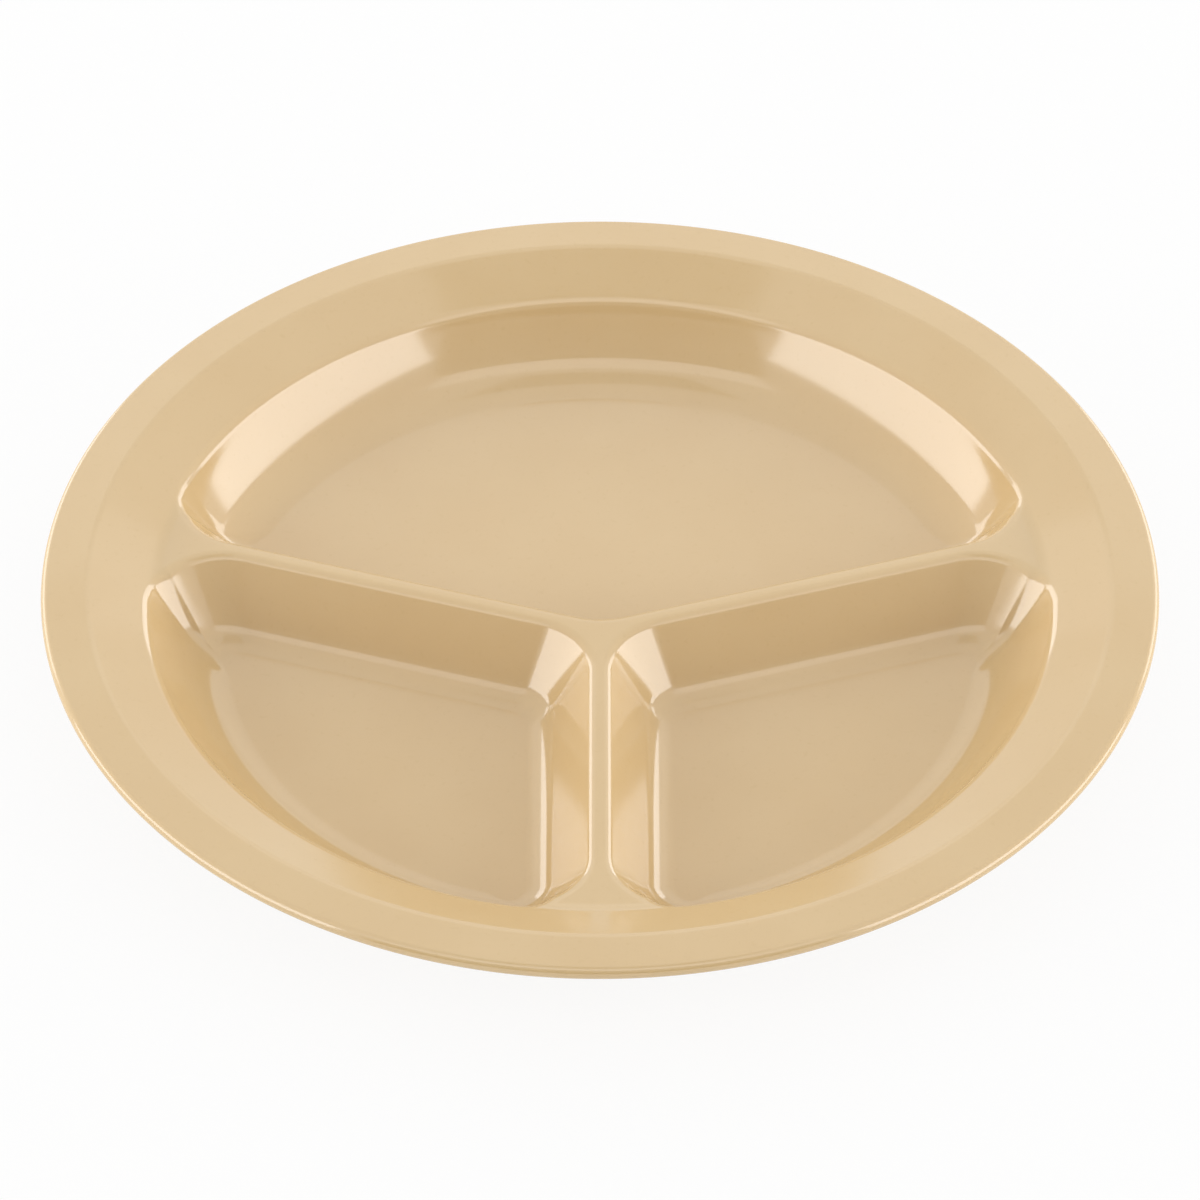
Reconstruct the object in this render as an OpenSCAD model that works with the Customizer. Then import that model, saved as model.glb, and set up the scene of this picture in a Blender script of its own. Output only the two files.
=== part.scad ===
// Divided dinner plate: one melamine moulding with a stepped rim and three wells.
// Millimetres, +Z up, origin on the table under the plate's axis, small wells to -Y.

/* [Rim] */
// Diameter over the rim
plate_d = 260; // [220:1:320]
// Height of the rim's crest above the table
plate_h = 26; // [22:0.5:36]
// Width of the level outer band, from the rim's edge in to the crest
outer_band_w = 10; // [7:0.5:16]
// Fall of the outer band from the crest to the rim's edge
outer_band_fall = 0.1; // [0:0.1:1]
// Thickness of the bead round the rim's edge
lip_t = 3.4; // [2.8:0.1:5]
// Rounding over the crest
crest_r = 4; // [2:0.5:8]
// Width of the sloping inner band, from the crest in to the foot of its slope
inner_band_w = 15.5; // [10:0.5:20]
// Slope of the inner band, in degrees
inner_band_deg = 25; // [15:0.5:32]
// Rounding where the inner band runs out on the dividers
band_foot_r = 8; // [2:0.5:12]

/* [Wells] */
// Thickness of the moulding in walls, floors and dividers
wall_t = 2.6; // [1.8:0.1:3.4]
// Slope of the well walls, in degrees from level
wall_deg = 55.5; // [50:0.5:68]
// Rounding over the wells' top edges
edge_r = 2; // [1:0.1:3]
// Rounding from the dividers into the floors
floor_r = 5.5; // [3:0.5:10]
// Rounding from the walls under the rim into the floors
rim_floor_r = 14; // [8:0.5:18]
// Plan width of the whole rim, from its edge in to the wells' top edge
rim_w = 23.8; // [20:0.1:32]
// Corner radius of the wells' top edges beside the rim
rim_corner_r = 17.3; // [13:0.1:22]
// Corner radius of the small wells' top edges at the junction
front_corner_r = 17.5; // [13:0.1:22]
// Corner radius of the large well's top edge at the junction
back_corner_r = 20; // [13:0.5:40]
// Loss of corner radius down the straight part of the walls
corner_draft = 7.5; // [2:0.5:9]
// Corner radius of the level floors
floor_corner_r = 5; // [3:0.5:9]

/* [Dividers] */
// Level width along the top of the dividers
divider_w = 1.8; // [1:0.1:6]
// Angle of the two side dividers behind the cross axis
arm_deg = 17.5; // [5:0.5:30]
// Distance of the junction in front of the plate's centre
junction_y = 13.3; // [0:0.1:25]

/* [Foot] */
// Height of the low foot rim under each well
foot_h = 0.6; // [0.4:0.1:1.5]
// Width of the foot rims
foot_w = 3; // [2:0.5:6]
// Corner radius inside the foot rims
foot_corner_r = 9; // [4:0.5:10]

/* [Hidden] */
$fn = 144;
MELAMINE = "#D3B48A";
// Steps in the roundings of the rim's section
SECTION_STEPS = 6;
// Steps over a well's top edge and into its floor
EDGE_STEPS = 3;
FLOOR_STEPS = 5;
// Steps round a well's corner and along its side on the rim
CORNER_STEPS = 10;
SIDE_STEPS = 22;
// Angle at which a well's surface breaks out of the land beside it
BREAK_DEG = 10;
// Reach of that surface beyond the break, and of the wells above the crest
BREAK_OUT = 0.8;
// Reach of the foot rims out past the level floors, into the rounding of the cups
FOOT_OUT = 1;
// Step inwards over which the fall of the land at a well's edge is taken
PROBE = 0.01;

plate_r = plate_d / 2;
crest_ring_r = plate_r - outer_band_w;
outer_band_deg = atan(outer_band_fall / outer_band_w);
lip_r = lip_t / 2;
// The bead's centre keeps its top level with the fall of the outer band
lip_c = [plate_r - lip_r, plate_h - outer_band_fall - lip_r];
crest_c = [crest_ring_r, plate_h - crest_r];
slope_foot_r = crest_ring_r - inner_band_w;
// The slope leaves the crest's rounding where that is as steep as the slope
slope_head = crest_c + crest_r * [-sin(inner_band_deg), cos(inner_band_deg)];
// Land: the level the dividers' tops lie at
land_z = slope_head.y - (slope_head.x - slope_foot_r) * tan(inner_band_deg);
foot_round_in = slope_foot_r - band_foot_r * tan(inner_band_deg / 2);
foot_round_out = foot_round_in + band_foot_r * sin(inner_band_deg);
well_r = plate_r - rim_w;
floor_z = foot_h + wall_t;
half_top = divider_w / 2;

// Each well: the angles of the dividers on its two sides, and its junction corner
WELLS = [
    [arm_deg, 180 - arm_deg, back_corner_r],
    [180 - arm_deg, 270, front_corner_r],
    [270, 360 + arm_deg, front_corner_r],
];

function spoke(angle) = [cos(angle), sin(angle)];
function arc(centre, radius, from, to, steps) =
    [for (k = [0:steps]) centre + radius * spoke(from + (to - from) * k / steps)];

// Rise of the land and the inner band at a distance from the axis, and its slope
function land_rise(r) =
    r <= foot_round_in ? 0
    : r < foot_round_out ? band_foot_r - sqrt(pow(band_foot_r, 2) - pow(r - foot_round_in, 2))
    : (r - slope_foot_r) * tan(inner_band_deg);
function land_deg(r) =
    r <= foot_round_in ? 0
    : r < foot_round_out ? asin((r - foot_round_in) / band_foot_r)
    : inner_band_deg;

// Corner centre that touches a divider's side and the ring of radius well_r - inset
function rim_corner(arm, side, inset, radius) =
    let (
        start = [0, -junction_y] + side * (half_top + inset + radius) * [-sin(arm), cos(arm)],
        along = spoke(arm),
        lead = start * along
    )
    start + (sqrt(pow(lead, 2) - start * start + pow(well_r - inset - radius, 2)) - lead) * along;
function heading(point, least) =
    let (angle = atan2(point.y, point.x)) angle < least ? angle + 360 : angle;

// The four arcs round a well: centre, radius, first and last angle, steps
function well_arcs(well, inset, corner, junction_corner) =
    let (
        first = well[0],
        last = well[1],
        half = (last - first) / 2,
        a = rim_corner(first, 1, inset, corner),
        b = rim_corner(last, -1, inset, corner),
        reach = (half_top + inset + junction_corner) / sin(half),
        angle_a = heading(a, first - 90),
        angle_b = heading(b, last - 90)
    )
    [
        [a, corner, first - 90, angle_a, CORNER_STEPS],
        [[0, 0], well_r - inset, angle_a, angle_b, SIDE_STEPS],
        [b, corner, angle_b, last + 90, CORNER_STEPS],
        [[0, -junction_y] + reach * spoke(first + half), junction_corner,
            last + 90, first + 270, CORNER_STEPS],
    ];

// Stations round an outline as [arc, step]; an arc's last point is the next one's first
// where the two touch, so the side on the rim leaves out both its ends
STATIONS = [
    for (i = [0:3])
        let (steps = i == 1 ? SIDE_STEPS : CORNER_STEPS, ends = i == 1 ? 1 : 0)
            for (k = [ends:steps - ends]) [i, k],
];
// A station's point and outward direction
function station_at(arcs, station) =
    let (c = arcs[station[0]], u = spoke(c[2] + (c[3] - c[2]) * station[1] / c[4]))
    [c[0] + c[1] * u, u];
// The same on a well's wall: its corners lose their draft down the straight wall (down goes
// from 0 to 1), and go on to the floor's radius in the floor's rounding (level from 0 to 1)
function wall_corner(top_r, down, level) =
    top_r - corner_draft * down - (top_r - corner_draft - floor_corner_r) * level;
function wall_at(well, station, inset, down, level) =
    let (corner = wall_corner(rim_corner_r, down, level), turn = wall_corner(well[2], down, level))
    station_at(well_arcs(well, inset, corner, turn), station);

// Rounding into the floor at a station: the dividers' own, the rim's own, and an even change
// between them in the rim's half of the corners beside it
function rimward(station) =
    station[0] == 1 ? 1
    : station[0] == 3 ? 0
    : station[0] == 0 ? station[1] / CORNER_STEPS
    : 1 - station[1] / CORNER_STEPS;
function floor_round(station) =
    let (t = max(0, 2 * rimward(station) - 1))
    floor_r + (rim_floor_r - floor_r) * t * t * (3 - 2 * t);

// What the wall's section starts from: rise and tilt of the land at the well's edge
function edge_of(well, station) =
    let (
        edge = wall_at(well, station, 0, 0, 0)[0],
        fall_line = (edge - wall_at(well, station, PROBE, 0, 0)[0]) / PROBE,
        r = norm(edge)
    )
    [land_rise(r), atan(tan(land_deg(r)) * max(0, fall_line * edge / r))];

// Centre of the rounding between wall and floor, as [inset, height]
function floor_foot(edge, round_r) =
    let (
        fall = land_z + edge[0] - floor_z,
        line = (fall - edge_r * (cos(edge[1]) - cos(wall_deg)) - round_r * (1 - cos(wall_deg)))
            / sin(wall_deg)
    )
    [
        edge_r * (sin(wall_deg) - sin(edge[1])) + line * cos(wall_deg) + round_r * sin(wall_deg),
        floor_z + round_r,
    ];

// Section of a wall from the top down, rings as [inset, height, down, level, shift outward]
function wall_section(well, station) =
    let (
        edge = edge_of(well, station),
        tilt = edge[1],
        break = tilt + BREAK_DEG,
        round_r = floor_round(station),
        foot = floor_foot(edge, round_r),
        wall_in = foot.x - round_r * sin(wall_deg),
        top = [for (k = [0:EDGE_STEPS])
            let (a = break + (wall_deg - break) * k / EDGE_STEPS, inset = edge_r * (sin(a) - sin(tilt)))
                [inset, land_z + edge[0] - edge_r * (cos(tilt) - cos(a)), inset / wall_in, 0, 0]],
        bottom = [for (k = [0:FLOOR_STEPS])
            let (a = wall_deg * (1 - k / FLOOR_STEPS))
                [foot.x - round_r * sin(a), foot.y - round_r * cos(a), 1, 1 - sin(a) / sin(wall_deg), 0]]
    )
    concat(
        [[top[0].x - BREAK_OUT * cos(break), plate_h + BREAK_OUT, 0, 0, 0]],
        [[top[0].x - BREAK_OUT * cos(break), top[0].y + BREAK_OUT * sin(break), 0, 0, 0]],
        top,
        bottom
    );

// Section of a wall's outer side, wall_t from the well, from inside the land down
function cup_section(well, station) =
    let (
        round_r = floor_round(station),
        foot = floor_foot(edge_of(well, station), round_r),
        arc = [for (k = [0:FLOOR_STEPS])
            let (a = wall_deg * (1 - k / FLOOR_STEPS))
                [
                    foot.x - round_r * sin(a),
                    foot.y - (round_r + wall_t) * cos(a),
                    1,
                    1 - sin(a) / sin(wall_deg),
                    wall_t * sin(a),
                ]],
        head_z = land_z - wall_t / 4,
        head_in = arc[0].x - (head_z - arc[0].y) / tan(wall_deg)
    )
    concat([[head_in, head_z, head_in / arc[0].x, 0, arc[0][4]]], arc);

// Solid through the rings that the sections of a well's stations draw round it
module loft(well, sections) {
    n = len(STATIONS);
    rings = len(sections[0]);
    points = [
        for (j = [0:rings - 1])
            for (i = [0:n - 1])
                let (s = sections[i][j], p = wall_at(well, STATIONS[i], s.x, s[2], s[3]))
                    [p[0].x + s[4] * p[1].x, p[0].y + s[4] * p[1].y, s.y],
    ];
    sides = [
        for (j = [0:rings - 2])
            for (i = [0:n - 1])
                let (k = (i + 1) % n)
                    [j * n + i, j * n + k, (j + 1) * n + k, (j + 1) * n + i],
    ];
    top = [for (i = [n - 1:-1:0]) i];
    bottom = [for (i = [0:n - 1]) (rings - 1) * n + i];
    polyhedron(points, concat([top], sides, [bottom]), convexity = 6);
}

// The open space of a well, up past the crest
module well_space(well) {
    loft(well, [for (station = STATIONS) wall_section(well, station)]);
}

// The moulding's cup round a well, still solid
module well_cup(well) {
    loft(well, [for (station = STATIONS) cup_section(well, station)]);
}

// Outline that keeps its distance inside the edge of a well's level floor
function floor_outline(well, inside, corner) =
    [for (station = STATIONS)
        let (inset = floor_foot(edge_of(well, station), floor_round(station)).x + inside)
            station_at(well_arcs(well, inset, corner, corner), station)[0]];

// Low rim that the cup stands on, round the edge of its level floor
module well_foot(well) {
    linear_extrude(foot_h + wall_t / 2)
        difference() {
            polygon(floor_outline(well, -FOOT_OUT, foot_corner_r + foot_w));
            polygon(floor_outline(well, foot_w - FOOT_OUT, foot_corner_r));
        }
}

// Rim, inner band and land turned as one sheet, before the wells are cut
module rim_and_land() {
    foot_c = [foot_round_in, land_z + band_foot_r];
    under_foot_r = band_foot_r + wall_t;
    under_slope = foot_c + under_foot_r * [sin(inner_band_deg), -cos(inner_band_deg)];
    // The underside is level again at the bead's foot, with the crest's own rounding
    under_head = plate_h - outer_band_fall - lip_t;
    under_crest_c = [
        under_slope.x + (under_head - under_slope.y) / tan(inner_band_deg)
            + crest_r * tan(inner_band_deg / 2),
        under_head - crest_r,
    ];
    rotate_extrude()
        polygon(concat(
            [[0, land_z - wall_t]],
            arc(foot_c, under_foot_r, -90, inner_band_deg - 90, SECTION_STEPS),
            arc(under_crest_c, crest_r, 90 + inner_band_deg, 90, SECTION_STEPS),
            arc(lip_c, lip_r, -90, 90 - outer_band_deg, 2 * SECTION_STEPS),
            arc(crest_c, crest_r, 90 - outer_band_deg, 90 + inner_band_deg, SECTION_STEPS),
            arc(foot_c, band_foot_r, inner_band_deg - 90, -90, SECTION_STEPS),
            [[0, land_z]]
        ));
}

module plate() {
    color(MELAMINE)
        difference() {
            union() {
                rim_and_land();
                for (well = WELLS) {
                    well_cup(well);
                    well_foot(well);
                }
            }
            for (well = WELLS) {
                well_space(well);
            }
        }
}

plate();
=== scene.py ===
"""Divided dinner plate in moulded melamine on a pale studio floor."""
import math

import bpy
import numpy as np
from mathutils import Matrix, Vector
from mathutils.geometry import delaunay_2d_cdt


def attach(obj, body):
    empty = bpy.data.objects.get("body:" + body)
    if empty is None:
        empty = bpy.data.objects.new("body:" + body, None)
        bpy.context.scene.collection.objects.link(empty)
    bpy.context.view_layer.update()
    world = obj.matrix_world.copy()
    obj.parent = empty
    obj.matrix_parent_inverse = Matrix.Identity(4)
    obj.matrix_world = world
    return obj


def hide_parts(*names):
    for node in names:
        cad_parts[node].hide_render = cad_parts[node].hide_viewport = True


bl_info = {
    "name": "Divided dinner plate",
    "version": (1, 0, 0),
    "blender": (4, 5, 0),
    "location": "View3D > Sidebar > Plate",
    "description": "Moulds a three-well melamine plate over its solid and sets a soft studio stage",
    "category": "Object",
}

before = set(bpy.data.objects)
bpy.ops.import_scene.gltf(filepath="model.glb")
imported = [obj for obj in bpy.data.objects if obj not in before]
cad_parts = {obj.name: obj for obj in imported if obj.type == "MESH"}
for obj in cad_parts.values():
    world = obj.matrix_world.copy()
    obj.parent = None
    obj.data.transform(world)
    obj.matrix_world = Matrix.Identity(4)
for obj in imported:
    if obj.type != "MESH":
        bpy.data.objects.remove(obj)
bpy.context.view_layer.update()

MM = 0.001
# Steps of the plate's mesh
ROUND_STEPS = 360
ARC_STEP = math.radians(1.3)
SIDE_STEP = 2.5 * MM
EDGE_STEPS = 12
WALL_STEPS = 10
FLOOR_STEPS = 14
CREST_STEPS = 12
LIP_STEPS = 24
LAND_STEP = 0.6 * MM
# Points closer than this are one point
WELD = 1e-8
# Sizes of the melamine's clouds and flecks, the flecks drawn coarse enough to show
CLOUD_SIZE = 30 * MM
FLECK_SIZE = 1.2 * MM
# Half the width of the studio floor, in metres
FLOOR_HALF = 6.0
# Lamps and cards round the plate: degrees from the back and above the table, metres away and
# aside; then width and height in metres. The soft box and the strip stand on both sides.
SOFT_BOX = (130, 15.5, 1.2, -0.905), 2, 0.66
STRIP = (45, 13, 1.3, 0), 0.85, 0.5
BACK_SCREEN = (0, 35, 2, 0), 4, 0.55
FILL = (180, 58, 1.9, 0), 2.4, 0.7
BLACK_CLOTH = (180, 12, 1.9, 0), 3.2, 0.8
GREY_CARD = (180, 36, 2.2, 0), 3.2, 0.9
TOP_CARD = (180, 89.9, 1.6, 0), 0.7, 0.7


def linear(code):
    """Linear RGB of an sRGB hex colour."""
    share = np.array([int(code[i:i + 2], 16) for i in (1, 3, 5)]) / 255
    return np.where(share <= 0.04045, share / 12.92, ((share + 0.055) / 1.055) ** 2.4).tolist()


def size(name, millimetres, description):
    """Property for a length in metres."""
    return bpy.props.FloatProperty(
        name=name, description=description, default=millimetres * MM, min=0, precision=4,
        subtype="DISTANCE", unit="LENGTH")


def slope(name, degrees, description):
    """Property for an angle."""
    return bpy.props.FloatProperty(
        name=name, description=description, default=math.radians(degrees), precision=2,
        subtype="ANGLE", unit="ROTATION")


def amount(name, default, description, highest=1):
    """Property for a plain number."""
    return bpy.props.FloatProperty(
        name=name, description=description, default=default, min=0, max=highest, precision=3,
        subtype="FACTOR")


def tint(name, code, description):
    """Property for a colour."""
    return bpy.props.FloatVectorProperty(
        name=name, description=description, default=linear(code), size=3, min=0, max=1,
        subtype="COLOR")


class PlateRim(bpy.types.PropertyGroup):
    """Sizes of the rim's section."""
    diameter: size("Diameter", 260, "Diameter over the rim")
    height: size("Height", 26, "Height of the crest above the table")
    outer_band: size("Outer band", 10, "Width of the level band from the rim's edge to the crest")
    outer_fall: size("Outer fall", 0.1, "Fall of the outer band from the crest to the rim's edge")
    lip: size("Lip", 3.4, "Thickness of the bead round the rim's edge")
    crest: size("Crest rounding", 4, "Rounding over the crest")
    inner_band: size("Inner band", 15.5, "Width of the sloping band from the crest to its foot")
    inner_slope: slope("Inner slope", 25, "Slope of the inner band")
    band_foot: size("Band foot rounding", 8, "Rounding where the band runs out on the dividers")


class PlateWells(bpy.types.PropertyGroup):
    """Sizes of the three wells."""
    wall: size("Wall", 2.6, "Thickness of walls, floors and dividers")
    wall_slope: slope("Wall slope", 55.5, "Mean slope of the well walls from level")
    wall_turn: slope(
        "Wall turn", 5.5, "How much steeper the walls under the rim are at the top, and flatter at the foot")
    edge: size("Edge rounding", 2.8, "Rounding over the dividers' edges")
    rim_edge: size("Rim edge rounding", 5, "Rounding from the inner band into the walls")
    floor: size("Floor rounding", 8, "Rounding from the dividers into the floors")
    rim_floor: size("Rim floor rounding", 14, "Rounding from the walls under the rim into the floors")
    rim_width: size("Rim width", 23.55, "Plan width of the rim out from the wells")
    rim_corner: size("Rim corners", 17.3, "Corner radius of the walls beside the rim")
    front_corner: size("Front corners", 17.5, "Corner radius of the small wells at the junction")
    back_corner: size("Back corner", 20, "Corner radius of the large well at the junction")
    corner_draft: size("Corner draft", 7.5, "Loss of corner radius down the straight walls")
    floor_corner: size("Floor corners", 5, "Corner radius of the level floors")


class PlateDividers(bpy.types.PropertyGroup):
    """Sizes of the Y-shaped divider."""
    width: size("Width", 1, "Level width along the top of the dividers")
    arm_angle: slope("Arm angle", 17.5, "Angle of the side dividers behind the cross axis")
    junction: size("Junction", 13.3, "Distance of the junction in front of the centre")


class PlateFoot(bpy.types.PropertyGroup):
    """Sizes of the foot rims under the wells."""
    height: size("Height", 0.6, "Height of the foot rims")
    width: size("Width", 3, "Width of the foot rims")
    corner: size("Corners", 9, "Corner radius inside the foot rims")
    reach: size("Reach", 1, "Reach of the foot rims out past the level floors")


class MelamineFinish(bpy.types.PropertyGroup):
    """Look of the moulded melamine."""
    colour: tint("Colour", "#D8B987", "Body colour of the moulding")
    pale: tint("Pale mottle", "#DABC8B", "Paler clouds in the moulding compound")
    fleck: tint("Fleck", "#CDAC77", "Fine darker flecks of the filler")
    gloss: amount("Roughness", 0.1, "Roughness of the polished mould's finish")
    ior: amount("IOR", 1.68, "Refractive index of melamine resin", 3)
    shine: amount("Shine", 0.7, "Strength of the reflection, where 0.5 is that of the index alone")


class StudioStage(bpy.types.PropertyGroup):
    """Camera and light."""
    view_height: slope("View height", 42.1, "Height of the camera over the rim's centre")
    view_dip: slope("View dip", 0.3386, "Dip of the camera's axis below the rim's centre")
    view_distance: size("View distance", 1300, "Distance of the camera from the rim's centre")
    lens: size("Lens", 167.5, "Focal length on a 36 mm sensor")
    floor: tint("Floor", "#F4F4F2", "Colour of the studio floor")
    floor_glow: amount("Floor glow", 0.9, "Share of the floor's look that is an even white glow")
    cloth: tint("Black cloth", "#141414", "Colour of the cloth that darkens the photographer's side")
    card: tint("Grey card", "#BCBCBC", "Colour of the cards over the cloth and over the plate")
    box_light: amount("Soft box light", 2.5, "Brightness of the soft boxes beside the plate", 20)
    strip_light: amount("Strip light", 2, "Brightness of the low strips behind them", 20)
    back_light: amount("Back light", 0.25, "Brightness of the screen behind the plate", 20)
    fill_light: amount("Fill light", 0.5, "Brightness of the fill light over the camera", 20)
    ambient: amount("Ambient light", 0.76, "Brightness of the white studio round the plate", 4)


GROUPS = {
    "plate_rim": PlateRim,
    "plate_wells": PlateWells,
    "plate_dividers": PlateDividers,
    "plate_foot": PlateFoot,
    "melamine_finish": MelamineFinish,
    "studio_stage": StudioStage,
}


class PlateSizes:
    """The plate's sizes in metres and radians, with the ones that follow from them."""

    def __init__(self, scene):
        rim, wells = scene.plate_rim, scene.plate_wells
        dividers, foot = scene.plate_dividers, scene.plate_foot
        self.plate_r = rim.diameter / 2
        self.height = rim.height
        self.outer_fall = rim.outer_fall
        self.outer_tilt = math.atan(rim.outer_fall / rim.outer_band)
        self.lip_r = rim.lip / 2
        self.lip_c = (self.plate_r - self.lip_r, rim.height - rim.outer_fall - self.lip_r)
        self.crest = rim.crest
        self.crest_c = (self.plate_r - rim.outer_band, rim.height - rim.crest)
        self.band = rim.inner_slope
        slope_foot = self.crest_c[0] - rim.inner_band
        head_r = self.crest_c[0] - rim.crest * math.sin(self.band)
        head_z = self.crest_c[1] + rim.crest * math.cos(self.band)
        self.land_z = head_z - (head_r - slope_foot) * math.tan(self.band)
        self.band_foot = rim.band_foot
        self.foot_in = slope_foot - rim.band_foot * math.tan(self.band / 2)
        self.wall = wells.wall
        self.wall_slope = wells.wall_slope
        self.wall_turn = wells.wall_turn
        self.edge = wells.edge
        self.rim_edge = wells.rim_edge
        self.floor = wells.floor
        self.rim_floor = wells.rim_floor
        self.floor_z = foot.height + wells.wall
        self.well_r = self.plate_r - wells.rim_width
        self.rim_corner = wells.rim_corner
        self.corner_draft = wells.corner_draft
        self.floor_corner = wells.floor_corner
        self.half_top = dividers.width / 2
        self.junction = np.array([0, -dividers.junction])
        arm = dividers.arm_angle
        self.wells = [
            (arm, math.pi - arm, wells.back_corner),
            (math.pi - arm, 1.5 * math.pi, wells.front_corner),
            (1.5 * math.pi, 2 * math.pi + arm, wells.front_corner),
        ]
        self.foot_h = foot.height
        self.foot_w = foot.width
        self.foot_corner = foot.corner
        self.foot_reach = foot.reach


def spoke(angle):
    """Unit vector at an angle in plan."""
    return np.stack([np.cos(angle), np.sin(angle)], -1)


def sheet(s, r, below=0):
    """Height and slope, at the distances r from the axis, of the face that lies below the
    top by that much, measured square to it: level, then an arc about the band foot's
    centre, then the straight inner band."""
    radius = s.band_foot + below
    turn = radius * math.sin(s.band)
    x = np.clip(r - s.foot_in, 0, turn)
    root = np.sqrt(radius ** 2 - x ** 2)
    line = np.clip(r - s.foot_in - turn, 0, None) * math.tan(s.band)
    return s.land_z + s.band_foot - root + line, x / root


def rim_corner(s, arm, side, inset, radius):
    """Centre of the corner that touches a divider's side and the ring of radius well_r -
    inset: the point of the line beside the divider at well_r - inset - radius from the axis."""
    along = spoke(arm)
    across = side * np.array([-along[1], along[0]])
    start = s.junction + (s.half_top + inset + radius)[..., None] * across
    lead = start @ along
    reach = np.sqrt(lead ** 2 - (start ** 2).sum(-1) + (s.well_r - inset - radius) ** 2) - lead
    return start + reach[..., None] * along


def heading(points, least):
    """Angles of points in plan, from least upwards."""
    return least + (np.arctan2(points[..., 1], points[..., 0]) - least) % (2 * math.pi)


def well_arcs(s, well, inset, radius, turn):
    """The four arcs round a well at an inset: centre, radius, first and last angle of the
    corner, the side on the rim, the other corner and the corner at the junction. Radius is
    that of the corners beside the rim and turn that at the junction."""
    first, last, _ = well
    half = (last - first) / 2
    a = rim_corner(s, first, 1, inset, radius)
    b = rim_corner(s, last, -1, inset, radius)
    angle_a = heading(a, first - math.pi / 2)
    angle_b = heading(b, last - math.pi / 2)
    reach = (s.half_top + inset + turn) / math.sin(half)
    return [
        (a, radius, first - math.pi / 2, angle_a),
        (np.zeros_like(a), s.well_r - inset, angle_a, angle_b),
        (b, radius, angle_b, last + math.pi / 2),
        (s.junction + reach[..., None] * spoke(first + half), turn,
         last + math.pi / 2, first + 1.5 * math.pi),
    ]


def well_stations(s, well):
    """Stations round a well as two columns, which arc or side and the share of the way along
    it. Numbers 0 to 3 are the arcs, 4 and 5 the straight sides on the dividers. An arc that
    touches the next shares its end with it."""
    zero = np.zeros((1, 1))
    arcs = well_arcs(s, well, zero, zero + s.rim_corner, zero + well[2])
    spans = [float(np.max(end - start)) for _, _, start, end in arcs]
    counts = [max(8, math.ceil(span / ARC_STEP)) for span in spans]
    sides = []
    for one, two, angle in ((2, 3, well[1] + math.pi / 2), (3, 0, well[0] - math.pi / 2)):
        ends = [arcs[k][0] + arcs[k][1][..., None] * spoke(angle) for k in (one, two)]
        sides.append(max(2, math.ceil(float(np.linalg.norm(ends[1] - ends[0])) / SIDE_STEP)))
    parts = [(0, counts[0], 0), (1, counts[1], 1), (2, counts[2], 0),
             (4, sides[0], 1), (3, counts[3], 0), (5, sides[1], 1)]
    kind = np.concatenate([np.full(n + 1 - 2 * cut, k) for k, n, cut in parts])
    share = np.concatenate([np.arange(cut, n + 1 - cut) / n for k, n, cut in parts])
    return kind[:, None], share[:, None]


def well_ring(s, well, stations, inset, radius, turn):
    """Points and outward directions at the stations of a well, each at its own inset and
    corner radii: a point of its arc, or of the line between the arcs' ends."""
    kind, share = stations
    inset, radius, turn = np.broadcast_arrays(inset + 0.0 * share, radius, turn)
    arcs = well_arcs(s, well, inset, radius, turn)
    points, outward = [], []
    for centre, radius, start, end in arcs:
        u = spoke(start + (end - start) * (share + 0.0 * inset))
        points.append(centre + radius[..., None] * u)
        outward.append(u)
    for one, two, angle in ((2, 3, well[1] + math.pi / 2), (3, 0, well[0] - math.pi / 2)):
        u = np.broadcast_to(spoke(angle), points[0].shape)
        ends = [arcs[k][0] + arcs[k][1][..., None] * u for k in (one, two)]
        points.append(ends[0] + share[..., None] * (ends[1] - ends[0]))
        outward.append(u)
    chosen = [np.broadcast_to((kind == k)[..., None], points[0].shape) for k in range(6)]
    return np.select(chosen, points), np.select(chosen, outward)


def wall_ring(s, well, stations, inset, down=0.0, level=0.0):
    """The same on a well's wall. Its corners lose their draft evenly down the straight wall
    (down from 0 to 1), and go on to the floor's radius in the floor rounding (level 0 to 1)."""
    radii = [corner - s.corner_draft * down - (corner - s.corner_draft - s.floor_corner) * level
             for corner in (s.rim_corner, well[2])]
    return well_ring(s, well, stations, inset, *radii)


def rim_share(stations):
    """How far each station belongs to the rim: none on the dividers, all under the rim, and an
    even change from one to the other in the rim's half of the corners between them."""
    kind, share = stations
    rimward = np.select([kind == 0, kind == 1, kind == 2], [share, 1.0, 1 - share], 0.0)
    rimward = np.clip(2 * rimward - 1, 0, 1)
    return rimward ** 2 * (3 - 2 * rimward)


def land_at(s, well, stations, inset):
    """Height and tilt of the land at an inset of a well, the tilt taken along the wall's fall."""
    probe = 0.01 * MM
    edge = wall_ring(s, well, stations, inset)[0]
    inside = wall_ring(s, well, stations, inset + probe)[0]
    r = np.linalg.norm(edge, axis=-1)
    z, slope_there = sheet(s, r)
    lean = ((edge - inside) / probe * edge).sum(-1) / r
    return z, np.arctan(slope_there * np.clip(lean, 0, None))


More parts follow.
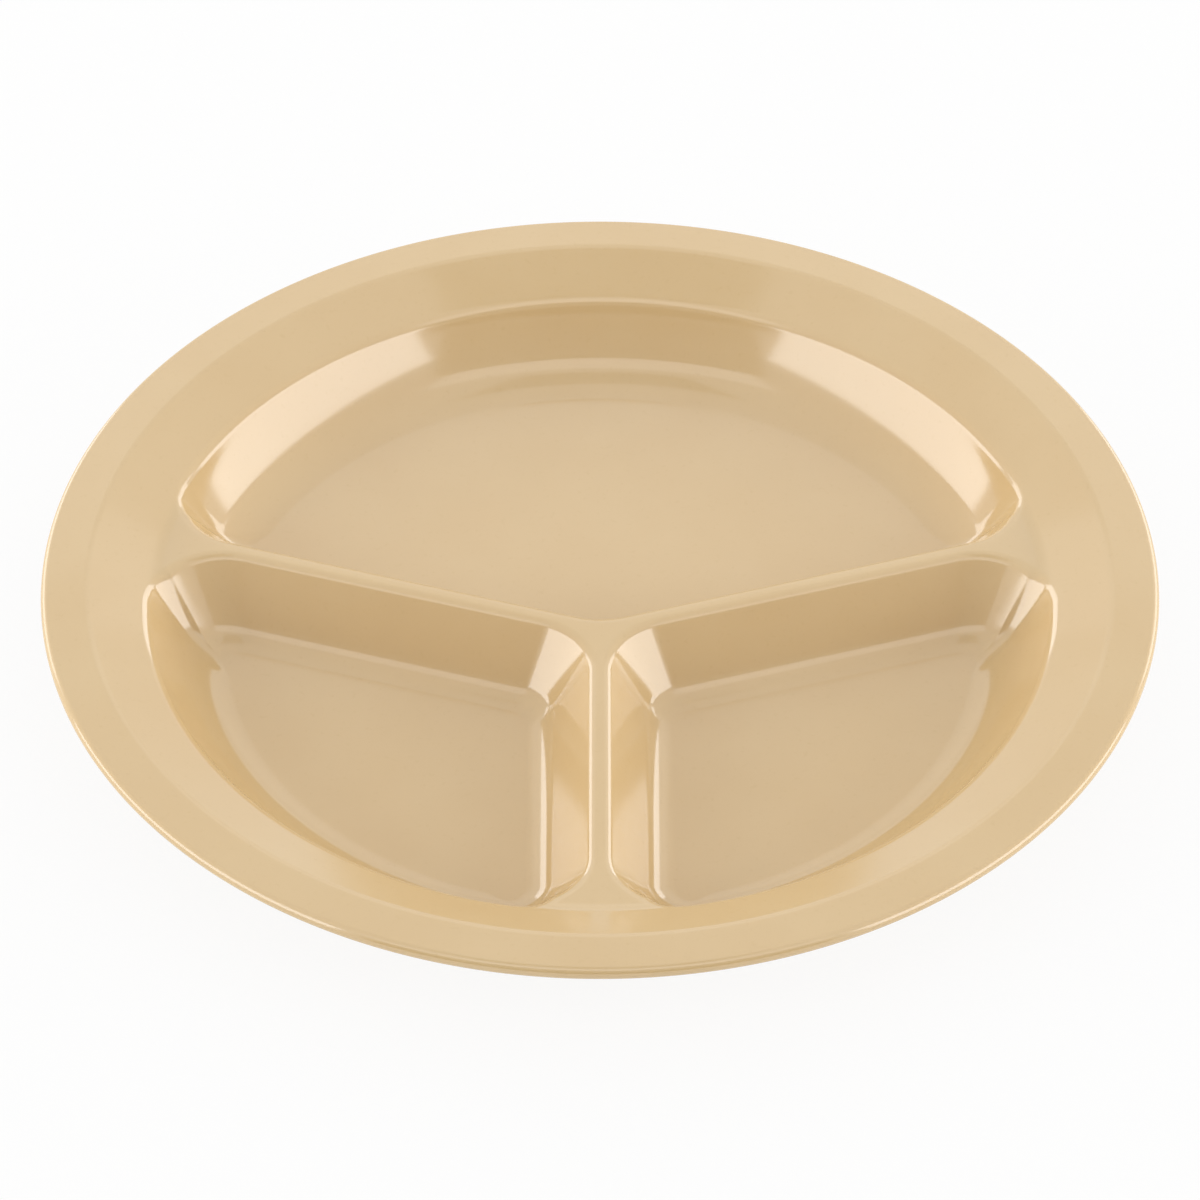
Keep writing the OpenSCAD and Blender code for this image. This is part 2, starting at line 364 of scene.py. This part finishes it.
class WallSection:
    """Section of a well's wall at each station: an edge rounding from the land's tilt, a wall
    that is straight on the dividers and slightly hollow under the rim, and a floor rounding. A
    rounding that is larger than the dividers' starts further out on the land by what its
    tangent gains, so the wall stays in its place."""

    def __init__(self, s, well, stations):
        rim = rim_share(stations)
        self.edge = s.edge + (s.rim_edge - s.edge) * rim
        self.floor = s.floor + (s.rim_floor - s.floor) * rim
        self.turn = s.wall_turn * rim
        self.top = s.wall_slope + self.turn
        base = s.wall_slope - self.turn
        tilt = land_at(s, well, stations, 0.0)[1]
        self.start = -(self.edge - s.edge) * np.tan((self.top - tilt) / 2) * np.cos(tilt)
        self.land_z, self.tilt = land_at(s, well, stations, self.start)
        self.top_in = self.start + self.edge * (np.sin(self.top) - np.sin(self.tilt))
        self.top_z = self.land_z - self.edge * (np.cos(self.tilt) - np.cos(self.top))
        self.foot_z = s.floor_z + self.floor * (1 - np.cos(base))
        self.foot_in = self.top_in + (self.top_z - self.foot_z) / math.tan(s.wall_slope)
        # Floor rounding from the wall to level: angle, further inset and share of its run
        self.angle = base * np.linspace(1, 0, FLOOR_STEPS + 1)
        run = np.sin(base) - np.sin(self.angle)
        self.run = self.floor * run
        self.share = run / run[:, -1:]


def well_surface(s, well, stations):
    """Grid of a well's wall from its edge to its level floor. The wall is a chord between its
    roundings, hollowed like a parabola with the roundings' slopes at its ends."""
    w = WallSection(s, well, stations)
    angle = w.tilt + (w.top - w.tilt) * np.linspace(0, 1, EDGE_STEPS + 1)
    edge_in = w.start + w.edge * (np.sin(angle) - np.sin(w.tilt))
    edge_z = w.land_z - w.edge * (np.cos(w.tilt) - np.cos(angle))
    share = np.linspace(0, 1, WALL_STEPS + 1)[1:-1]
    chord = (w.top_z - w.foot_z) / math.sin(s.wall_slope)
    hollow = chord * np.tan(w.turn) * share * (1 - share)
    wall_in = w.top_in + (w.foot_in - w.top_in) * share - hollow * math.sin(s.wall_slope)
    wall_z = w.top_z + (w.foot_z - w.top_z) * share - hollow * math.cos(s.wall_slope)
    inset = np.concatenate([edge_in, wall_in, w.foot_in + w.run], 1)
    height = np.concatenate([edge_z, wall_z, s.floor_z + w.floor * (1 - np.cos(w.angle))], 1)
    level = np.concatenate([np.zeros_like(edge_in), np.zeros_like(wall_in), w.share], 1)
    plan = wall_ring(s, well, stations, inset, np.clip(inset / w.foot_in, 0, 1), level)[0]
    return np.concatenate([plan, height[..., None]], -1)


def cup_surface(s, well, stations):
    """Grid of a well's outer side from the underside of the land to the inside of its foot
    rim: the wall and the floor rounding moved out by the wall's thickness, then the foot
    rim's rounded section. The head is found by halving between the wall's foot and the edge."""
    w = WallSection(s, well, stations)
    out, down = s.wall * math.sin(s.wall_slope), s.wall * math.cos(s.wall_slope)

    def outer(height):
        inset = w.foot_in - (height - w.foot_z) / math.tan(s.wall_slope)
        plan, u = wall_ring(s, well, stations, inset, inset / w.foot_in)
        plan = plan + out * u
        return plan, height - down - sheet(s, np.linalg.norm(plan, axis=-1), s.wall)[0]

    low, high = w.foot_z, w.land_z + s.wall
    for _ in range(40):
        middle = (low + high) / 2
        above = outer(middle)[1] > 0
        low, high = np.where(above, low, middle), np.where(above, middle, high)
    head = (low + high) / 2
    head_in = w.foot_in - (head - w.foot_z) / math.tan(s.wall_slope)
    share = np.linspace(0, 1, WALL_STEPS + 1)[:-1]
    inset = np.concatenate([head_in + (w.foot_in - head_in) * share, w.foot_in + w.run[:, :-1]], 1)
    turned_z = s.floor_z + w.floor - (w.floor + s.wall) * np.cos(w.angle[:, :-1])
    wall_z = head + (w.foot_z - head) * share - down
    height = np.concatenate([wall_z, turned_z], 1)
    shift = np.concatenate([np.full_like(wall_z, out), s.wall * np.sin(w.angle[:, :-1])], 1)
    level = np.concatenate([np.zeros_like(wall_z), w.share[:, :-1]], 1)
    plan, u = wall_ring(s, well, stations, inset, np.minimum(inset / w.foot_in, 1), level)
    cup = np.concatenate([plan + shift[..., None] * u, height[..., None]], -1)
    # Foot rim: its section's insets and heights, with corner radii that follow the insets
    soft = s.foot_h / 2
    step = np.array([0, 0.1, 0.4, 1]) * soft
    rise = np.array([1, 0.55, 0.2, 0]) * soft
    section_in = np.concatenate([[-0.3 * soft], step, s.foot_w - step[::-1], [s.foot_w + 0.3 * soft]])
    section_z = np.concatenate([[2.1 * soft], rise, rise[::-1], [2 * soft]])
    corner = s.foot_corner + s.foot_w - section_in
    ring_in = w.foot_in + w.run[:, -1:] - s.foot_reach + section_in
    ring = well_ring(s, well, stations, ring_in, corner, corner)[0]
    height = np.broadcast_to(section_z, ring.shape[:2])
    return np.concatenate([cup, np.concatenate([ring, height[..., None]], -1)], 1)


def grid_normals(grid):
    """Normals of a closed grid by the cross product of its steps round and down."""
    normals = np.cross(np.roll(grid, -1, 0) - np.roll(grid, 1, 0), np.gradient(grid, axis=1))
    return normals / np.linalg.norm(normals, axis=-1, keepdims=True)


def grid_faces(rows, columns):
    """Faces of a grid that closes on itself round its rows."""
    i = np.arange(rows)[:, None]
    j = np.arange(columns - 1)
    here, there = i * columns + j, (i + 1) % rows * columns + j
    return np.stack([here, there, there + 1, here + 1], -1).reshape(-1, 4)


def arc_points(centre, radius, start, end, steps, sense):
    """Points of an arc in the rim's section, with normals away from its centre (sense 1) or
    towards it (sense -1)."""
    u = spoke(np.linspace(start, end, steps + 1))
    return np.array(centre) + radius * u, sense * u


def rim_section(s, top_r, under_r):
    """Section of the rim from the land's ring out over crest, band and lip and back beneath to
    the underside's ring: arcs joined by straight lines that touch them."""
    quarter = math.pi / 2
    under_foot = s.band_foot + s.wall
    under_r0 = s.foot_in + under_foot * math.sin(s.band)
    under_z0 = s.land_z + s.band_foot - under_foot * math.cos(s.band)
    level = s.height - s.outer_fall - 2 * s.lip_r
    under_c = (under_r0 + (level - under_z0) / math.tan(s.band) + s.crest * math.tan(s.band / 2),
               level - s.crest)
    lean = np.array([[-math.sin(s.band), math.cos(s.band)]])
    start = np.array([[top_r, float(sheet(s, top_r)[0])]])
    end = np.array([[under_r, float(sheet(s, under_r, s.wall)[0])]])
    parts = [
        (start, lean),
        arc_points(s.crest_c, s.crest, quarter + s.band, quarter - s.outer_tilt, CREST_STEPS, 1),
        arc_points(s.lip_c, s.lip_r, quarter - s.outer_tilt, -quarter, LIP_STEPS, 1),
        arc_points(under_c, s.crest, quarter, quarter + s.band, CREST_STEPS, -1),
        (end, -lean),
    ]
    return np.concatenate([p for p, n in parts]), np.concatenate([n for p, n in parts])


def turned(section, normals):
    """Grid of a section turned round the axis, with its normals."""
    u = spoke(np.arange(ROUND_STEPS) * 2 * math.pi / ROUND_STEPS)[:, None]
    height = np.broadcast_to(section[:, 1:], (ROUND_STEPS, len(section), 1))
    lift = np.broadcast_to(normals[:, 1:], height.shape)
    return (np.concatenate([section[:, :1] * u, height], -1),
            np.concatenate([normals[:, :1] * u, lift], -1))


def within(points, loop, margin):
    """Which points lie inside a convex loop, or outside it by less than a margin."""
    side = np.roll(loop, -1, 0) - loop
    length = np.linalg.norm(side, axis=1)
    good = length > WELD
    side, base, length = side[good], loop[good], length[good]
    apart = points[:, None] - base
    across = side[:, 0] * apart[..., 1] - side[:, 1] * apart[..., 0]
    return (across / length > -margin).all(1)


def land_surface(s, loops, ring_r, below):
    """Points, normals and triangles of the land between the wells' loops and a ring round
    them, with the sheet's height. The triangles are Delaunay's over the loops, the ring and
    rings of points where the sheet curves."""
    u = spoke(np.arange(ROUND_STEPS) * 2 * math.pi / ROUND_STEPS)
    outlines = [ring_r * u] + loops
    starts = np.cumsum([0] + [len(o) for o in outlines])
    edges = np.concatenate([
        np.stack([k + np.arange(len(o)), k + (np.arange(len(o)) + 1) % len(o)], 1)
        for k, o in zip(starts, outlines)])
    spread = np.arange(s.foot_in - 2 * MM, ring_r - LAND_STEP, LAND_STEP)
    inner = (spread[:, None, None] * u).reshape(-1, 2)
    free = np.ones(len(inner), bool)
    for loop in loops:
        free &= ~within(inner, loop, LAND_STEP / 2)
    plan = np.concatenate(outlines + [inner[free]])
    scale = 1 / MM
    found = delaunay_2d_cdt([Vector(p) for p in (plan * scale).tolist()], edges.tolist(), [], 0, 1e-6)
    flat = np.array([tuple(p) for p in found[0]]) / scale
    # The tool keeps its input's points, so their exact places go back in
    for k, source in enumerate(found[3]):
        if source:
            flat[k] = plan[source[0]]
    faces = np.array(found[2])
    middle = flat[faces].mean(1)
    inside = np.linalg.norm(middle, axis=1) < ring_r
    for loop in loops:
        inside &= ~within(middle, loop, 0)
    faces = faces[inside]
    one, two, three = (flat[faces[:, k]] for k in range(3))
    area = (two - one)[:, 0] * (three - one)[:, 1] - (two - one)[:, 1] * (three - one)[:, 0]
    faces[area < 0] = faces[area < 0][:, ::-1]
    r = np.linalg.norm(flat, axis=1)
    z, lean = sheet(s, r, below)
    fall = -lean[:, None] * flat / np.maximum(r, WELD)[:, None]
    normals = np.concatenate([fall, np.ones((len(r), 1))], 1)
    normals /= np.linalg.norm(normals, axis=1, keepdims=True)
    return np.concatenate([flat, z[:, None]], 1), normals, faces


def joined_mesh(name, parts):
    """Mesh of parts that meet at shared points. Each part brings its points, normals and
    faces, and keeps its own normals at its faces' corners."""
    points = np.concatenate([p for p, n, f in parts])
    keys = np.round(points / WELD).astype(np.int64)
    _, index, inverse = np.unique(keys, axis=0, return_index=True, return_inverse=True)
    inverse = inverse.reshape(-1)
    normals = np.concatenate([n for p, n, f in parts])
    starts = np.cumsum([0] + [len(p) for p, n, f in parts])
    faces = [face for k, (p, n, f) in zip(starts, parts) for face in (np.asarray(f) + k).tolist()]
    corners = np.concatenate([np.asarray(face) for face in faces])
    lengths = np.array([len(face) for face in faces])
    cuts = np.cumsum(lengths)[:-1]
    welded = [face.tolist() for face in np.split(inverse[corners], cuts)]
    mesh = bpy.data.meshes.new(name)
    mesh.from_pydata(points[index].tolist(), [], welded)
    mesh.shade_smooth()
    mesh.normals_split_custom_set(normals[corners].tolist())
    mesh.update()
    return mesh


def plate_mesh(name, s):
    """The whole moulding as one closed mesh: rim, wells, floors and land on top, and the cups,
    foot rims and land beneath."""
    top_r, under_r = s.well_r + 1.5 * MM, s.well_r + 4 * MM
    up = np.array([0.0, 0.0, 1.0])
    rim, rim_n = turned(*rim_section(s, top_r, under_r))
    rows, columns = rim.shape[:2]
    parts = [(rim.reshape(-1, 3), rim_n.reshape(-1, 3), grid_faces(rows, columns)[:, ::-1])]
    edges, heads = [], []
    for well in s.wells:
        stations = well_stations(s, well)
        wall = well_surface(s, well, stations)
        normals = grid_normals(wall)
        normals[:, -1] = up
        rows, columns = wall.shape[:2]
        parts.append((wall.reshape(-1, 3), normals.reshape(-1, 3), grid_faces(rows, columns)))
        parts.append((wall[:, -1], np.tile(up, (rows, 1)), np.arange(rows)[None]))
        edges.append(wall[:, 0, :2])
        cup = cup_surface(s, well, stations)
        normals = -grid_normals(cup)
        rows, columns = cup.shape[:2]
        parts.append((cup.reshape(-1, 3), normals.reshape(-1, 3), grid_faces(rows, columns)[:, ::-1]))
        parts.append((cup[:, -1], np.tile(-up, (rows, 1)), np.arange(rows)[None, ::-1]))
        heads.append(cup[:, 0, :2])
    parts.append(land_surface(s, edges, top_r, 0))
    points, normals, faces = land_surface(s, heads, under_r, s.wall)
    parts.append((points, -normals, faces[:, ::-1]))
    return joined_mesh(name, parts)


def add(tree, kind, settings=None, **links):
    """Adds a node, sets its values and links its inputs by name."""
    node = tree.nodes.new(kind)
    for key, value in (settings or {}).items():
        if hasattr(node, key):
            setattr(node, key, value)
        else:
            node.inputs[key].default_value = value
    for key, source in links.items():
        tree.links.new(source, node.inputs[key.replace("_", " ")])
    return node


def new_material(name):
    """Empty node material and its tree."""
    material = bpy.data.materials.new(name)
    material.use_nodes = True
    material.node_tree.nodes.clear()
    return material, material.node_tree


def moulded_melamine(finish):
    """Melamine resin pressed in a polished steel mould: hard, glossy and tan all through, with
    faint paler clouds where the compound flowed and fine darker flecks of its filler."""
    material, tree = new_material("Moulded melamine")
    place = add(tree, "ShaderNodeTexCoord").outputs["Object"]
    clouds = add(tree, "ShaderNodeTexNoise", {"Scale": 1 / CLOUD_SIZE, "Detail": 3}, Vector=place)
    flecks = add(tree, "ShaderNodeTexNoise", {"Scale": 1 / FLECK_SIZE, "Detail": 1}, Vector=place)
    cloud = add(tree, "ShaderNodeMapRange", {"From Min": 0.35, "From Max": 0.65},
                Value=clouds.outputs["Fac"])
    fleck = add(tree, "ShaderNodeMapRange", {"From Min": 0.62, "From Max": 0.8, "To Max": 0.2},
                Value=flecks.outputs["Fac"])
    base = add(tree, "ShaderNodeMix", {"data_type": "RGBA"})
    base.inputs[6].default_value = (*finish.colour, 1)
    base.inputs[7].default_value = (*finish.pale, 1)
    tree.links.new(cloud.outputs["Result"], base.inputs[0])
    speck = add(tree, "ShaderNodeMix", {"data_type": "RGBA"})
    speck.inputs[7].default_value = (*finish.fleck, 1)
    tree.links.new(fleck.outputs["Result"], speck.inputs[0])
    tree.links.new(base.outputs[2], speck.inputs[6])
    rough = add(tree, "ShaderNodeMapRange",
                {"To Min": finish.gloss * 0.85, "To Max": finish.gloss * 1.15},
                Value=clouds.outputs["Fac"])
    shader = add(tree, "ShaderNodeBsdfPrincipled",
                 {"IOR": finish.ior, "Specular IOR Level": finish.shine},
                 Base_Color=speck.outputs[2], Roughness=rough.outputs["Result"])
    add(tree, "ShaderNodeOutputMaterial", Surface=shader.outputs["BSDF"])
    return material


def seen_rays(tree):
    """One for camera, glossy and transmission rays, which see the studio as plain white."""
    light = add(tree, "ShaderNodeLightPath")
    first = add(tree, "ShaderNodeMath", {"operation": "MAXIMUM"})
    tree.links.new(light.outputs["Is Camera Ray"], first.inputs[0])
    tree.links.new(light.outputs["Is Glossy Ray"], first.inputs[1])
    second = add(tree, "ShaderNodeMath", {"operation": "MAXIMUM"})
    tree.links.new(first.outputs[0], second.inputs[0])
    tree.links.new(light.outputs["Is Transmission Ray"], second.inputs[1])
    return second.outputs[0]


def studio_floor(stage):
    """Matt white paper: it scatters light as paper does, and to the camera it adds the glow of
    an evenly lit sweep, so it shows white with a soft shadow."""
    material, tree = new_material("White paper floor")
    paper = add(tree, "ShaderNodeBsdfDiffuse", {"Color": (*stage.floor, 1)})
    glow = add(tree, "ShaderNodeEmission", {"Color": (1, 1, 1, 1), "Strength": 1})
    share = add(tree, "ShaderNodeMath", {"operation": "MULTIPLY"})
    share.inputs[1].default_value = stage.floor_glow
    tree.links.new(seen_rays(tree), share.inputs[0])
    mix = add(tree, "ShaderNodeMixShader")
    tree.links.new(share.outputs[0], mix.inputs[0])
    tree.links.new(paper.outputs[0], mix.inputs[1])
    tree.links.new(glow.outputs[0], mix.inputs[2])
    add(tree, "ShaderNodeOutputMaterial", Surface=mix.outputs[0])
    return material


def face_plate(holder, place, side):
    """Puts something round the plate, facing it, at degrees from the back and above the table,
    and slides it sideways in its own plane. Side is 1 for the right and -1 for the left."""
    azimuth, height, distance, aside = place
    azimuth, height = side * math.radians(azimuth), math.radians(height)
    level = Vector((math.sin(azimuth), math.cos(azimuth), 0))
    way = math.cos(height) * level + Vector((0, 0, math.sin(height)))
    holder.location = distance * way + side * aside * Vector((level.y, -level.x, 0))
    holder.rotation_euler = way.to_track_quat("Z", "Y").to_euler()
    holder.visible_camera = False
    bpy.context.scene.collection.objects.link(holder)
    return holder


def soft_box(name, spot, brightness, side=1):
    """Rectangular lamp that faces the plate, with the radiance of brightness times white."""
    place, width, tall = spot
    lamp = bpy.data.lights.new(name, "AREA")
    lamp.shape = "RECTANGLE"
    lamp.size, lamp.size_y = width, tall
    lamp.energy = brightness * math.pi * width * tall
    face_plate(bpy.data.objects.new(name, lamp), place, side)


def matt(name, colour):
    """Dull cloth or card, which scatters light evenly and has no shine."""
    material, tree = new_material(name)
    surface = add(tree, "ShaderNodeBsdfDiffuse", {"Color": (*colour, 1)})
    add(tree, "ShaderNodeOutputMaterial", Surface=surface.outputs[0])
    return material


def flag(name, spot, material):
    """Card or cloth that faces the plate and darkens what its gloss mirrors."""
    place, width, tall = spot
    x, y = width / 2, tall / 2
    mesh = bpy.data.meshes.new(name)
    mesh.from_pydata([(-x, -y, 0), (x, -y, 0), (x, y, 0), (-x, y, 0)], [], [(0, 1, 2, 3)])
    mesh.materials.append(material)
    face_plate(bpy.data.objects.new(name, mesh), place, 1)


class PLATE_OT_mould(bpy.types.Operator):
    """Mould the plate as one closed surface and give it its finish"""
    bl_idname = "plate.mould"
    bl_label = "Mould the plate"

    def execute(self, context):
        mesh = plate_mesh("moulding", PlateSizes(context.scene))
        mesh.materials.append(moulded_melamine(context.scene.melamine_finish))
        moulding = bpy.data.objects.new("moulding", mesh)
        context.scene.collection.objects.link(moulding)
        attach(moulding, "root")
        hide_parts("plate")
        return {"FINISHED"}


class PLATE_OT_stage(bpy.types.Operator):
    """Set the floor, the light and the camera"""
    bl_idname = "plate.stage"
    bl_label = "Set the stage"

    def execute(self, context):
        scene = context.scene
        stage = scene.studio_stage
        corners = [(x * FLOOR_HALF, y * FLOOR_HALF, 0) for x, y in ((-1, -1), (1, -1), (1, 1), (-1, 1))]
        mesh = bpy.data.meshes.new("studio_floor")
        mesh.from_pydata(corners, [], [(0, 1, 2, 3)])
        mesh.materials.append(studio_floor(stage))
        floor = bpy.data.objects.new("studio_floor", mesh)
        scene.collection.objects.link(floor)

        for side, name in ((-1, "left"), (1, "right")):
            soft_box("soft_box_" + name, SOFT_BOX, stage.box_light, side)
            soft_box("strip_" + name, STRIP, stage.strip_light, side)
        soft_box("screen_back", BACK_SCREEN, stage.back_light)
        soft_box("fill", FILL, stage.fill_light)
        card = matt("Grey card", stage.card)
        flag("black_cloth", BLACK_CLOTH, matt("Black cloth", stage.cloth))
        flag("grey_card", GREY_CARD, card)
        flag("top_card", TOP_CARD, card)

        world = bpy.data.worlds.new("White studio")
        world.use_nodes = True
        tree = world.node_tree
        tree.nodes.clear()
        level = add(tree, "ShaderNodeMapRange", {"To Min": stage.ambient, "To Max": 1},
                    Value=seen_rays(tree))
        glow = add(tree, "ShaderNodeBackground", {"Color": (1, 1, 1, 1)},
                   Strength=level.outputs["Result"])
        add(tree, "ShaderNodeOutputWorld", Surface=glow.outputs[0])
        scene.world = world

        camera = bpy.data.cameras.new("photo_camera")
        camera.sensor_width = 36
        camera.lens = stage.lens / MM
        camera.clip_end = 100
        holder = bpy.data.objects.new("photo_camera", camera)
        way = Vector((0, -math.cos(stage.view_height), math.sin(stage.view_height)))
        holder.location = Vector((0, 0, scene.plate_rim.height)) + stage.view_distance * way
        holder.rotation_euler = (math.pi / 2 - stage.view_height - stage.view_dip, 0, 0)
        scene.collection.objects.link(holder)
        scene.camera = holder
        scene.view_settings.view_transform = "Standard"
        return {"FINISHED"}


class PLATE_PT_sidebar(bpy.types.Panel):
    """Sizes, finish and stage of the plate"""
    bl_idname = "PLATE_PT_sidebar"
    bl_label = "Divided plate"
    bl_space_type = "VIEW_3D"
    bl_region_type = "UI"
    bl_category = "Plate"

    def draw(self, context):
        for key, group in GROUPS.items():
            box = self.layout.box()
            box.label(text=group.__doc__)
            for name in group.__annotations__:
                box.prop(getattr(context.scene, key), name)
        self.layout.operator(PLATE_OT_mould.bl_idname)
        self.layout.operator(PLATE_OT_stage.bl_idname)


CLASSES = (*GROUPS.values(), PLATE_OT_mould, PLATE_OT_stage, PLATE_PT_sidebar)


def register():
    for each in CLASSES:
        bpy.utils.register_class(each)
    for key, group in GROUPS.items():
        setattr(bpy.types.Scene, key, bpy.props.PointerProperty(type=group))


def unregister():
    for key in GROUPS:
        delattr(bpy.types.Scene, key)
    for each in reversed(CLASSES):
        bpy.utils.unregister_class(each)


def main():
    """Registers the add-on and builds the plate and its stage."""
    register()
    bpy.ops.plate.mould()
    bpy.ops.plate.stage()


if __name__ == "__main__":
    main()
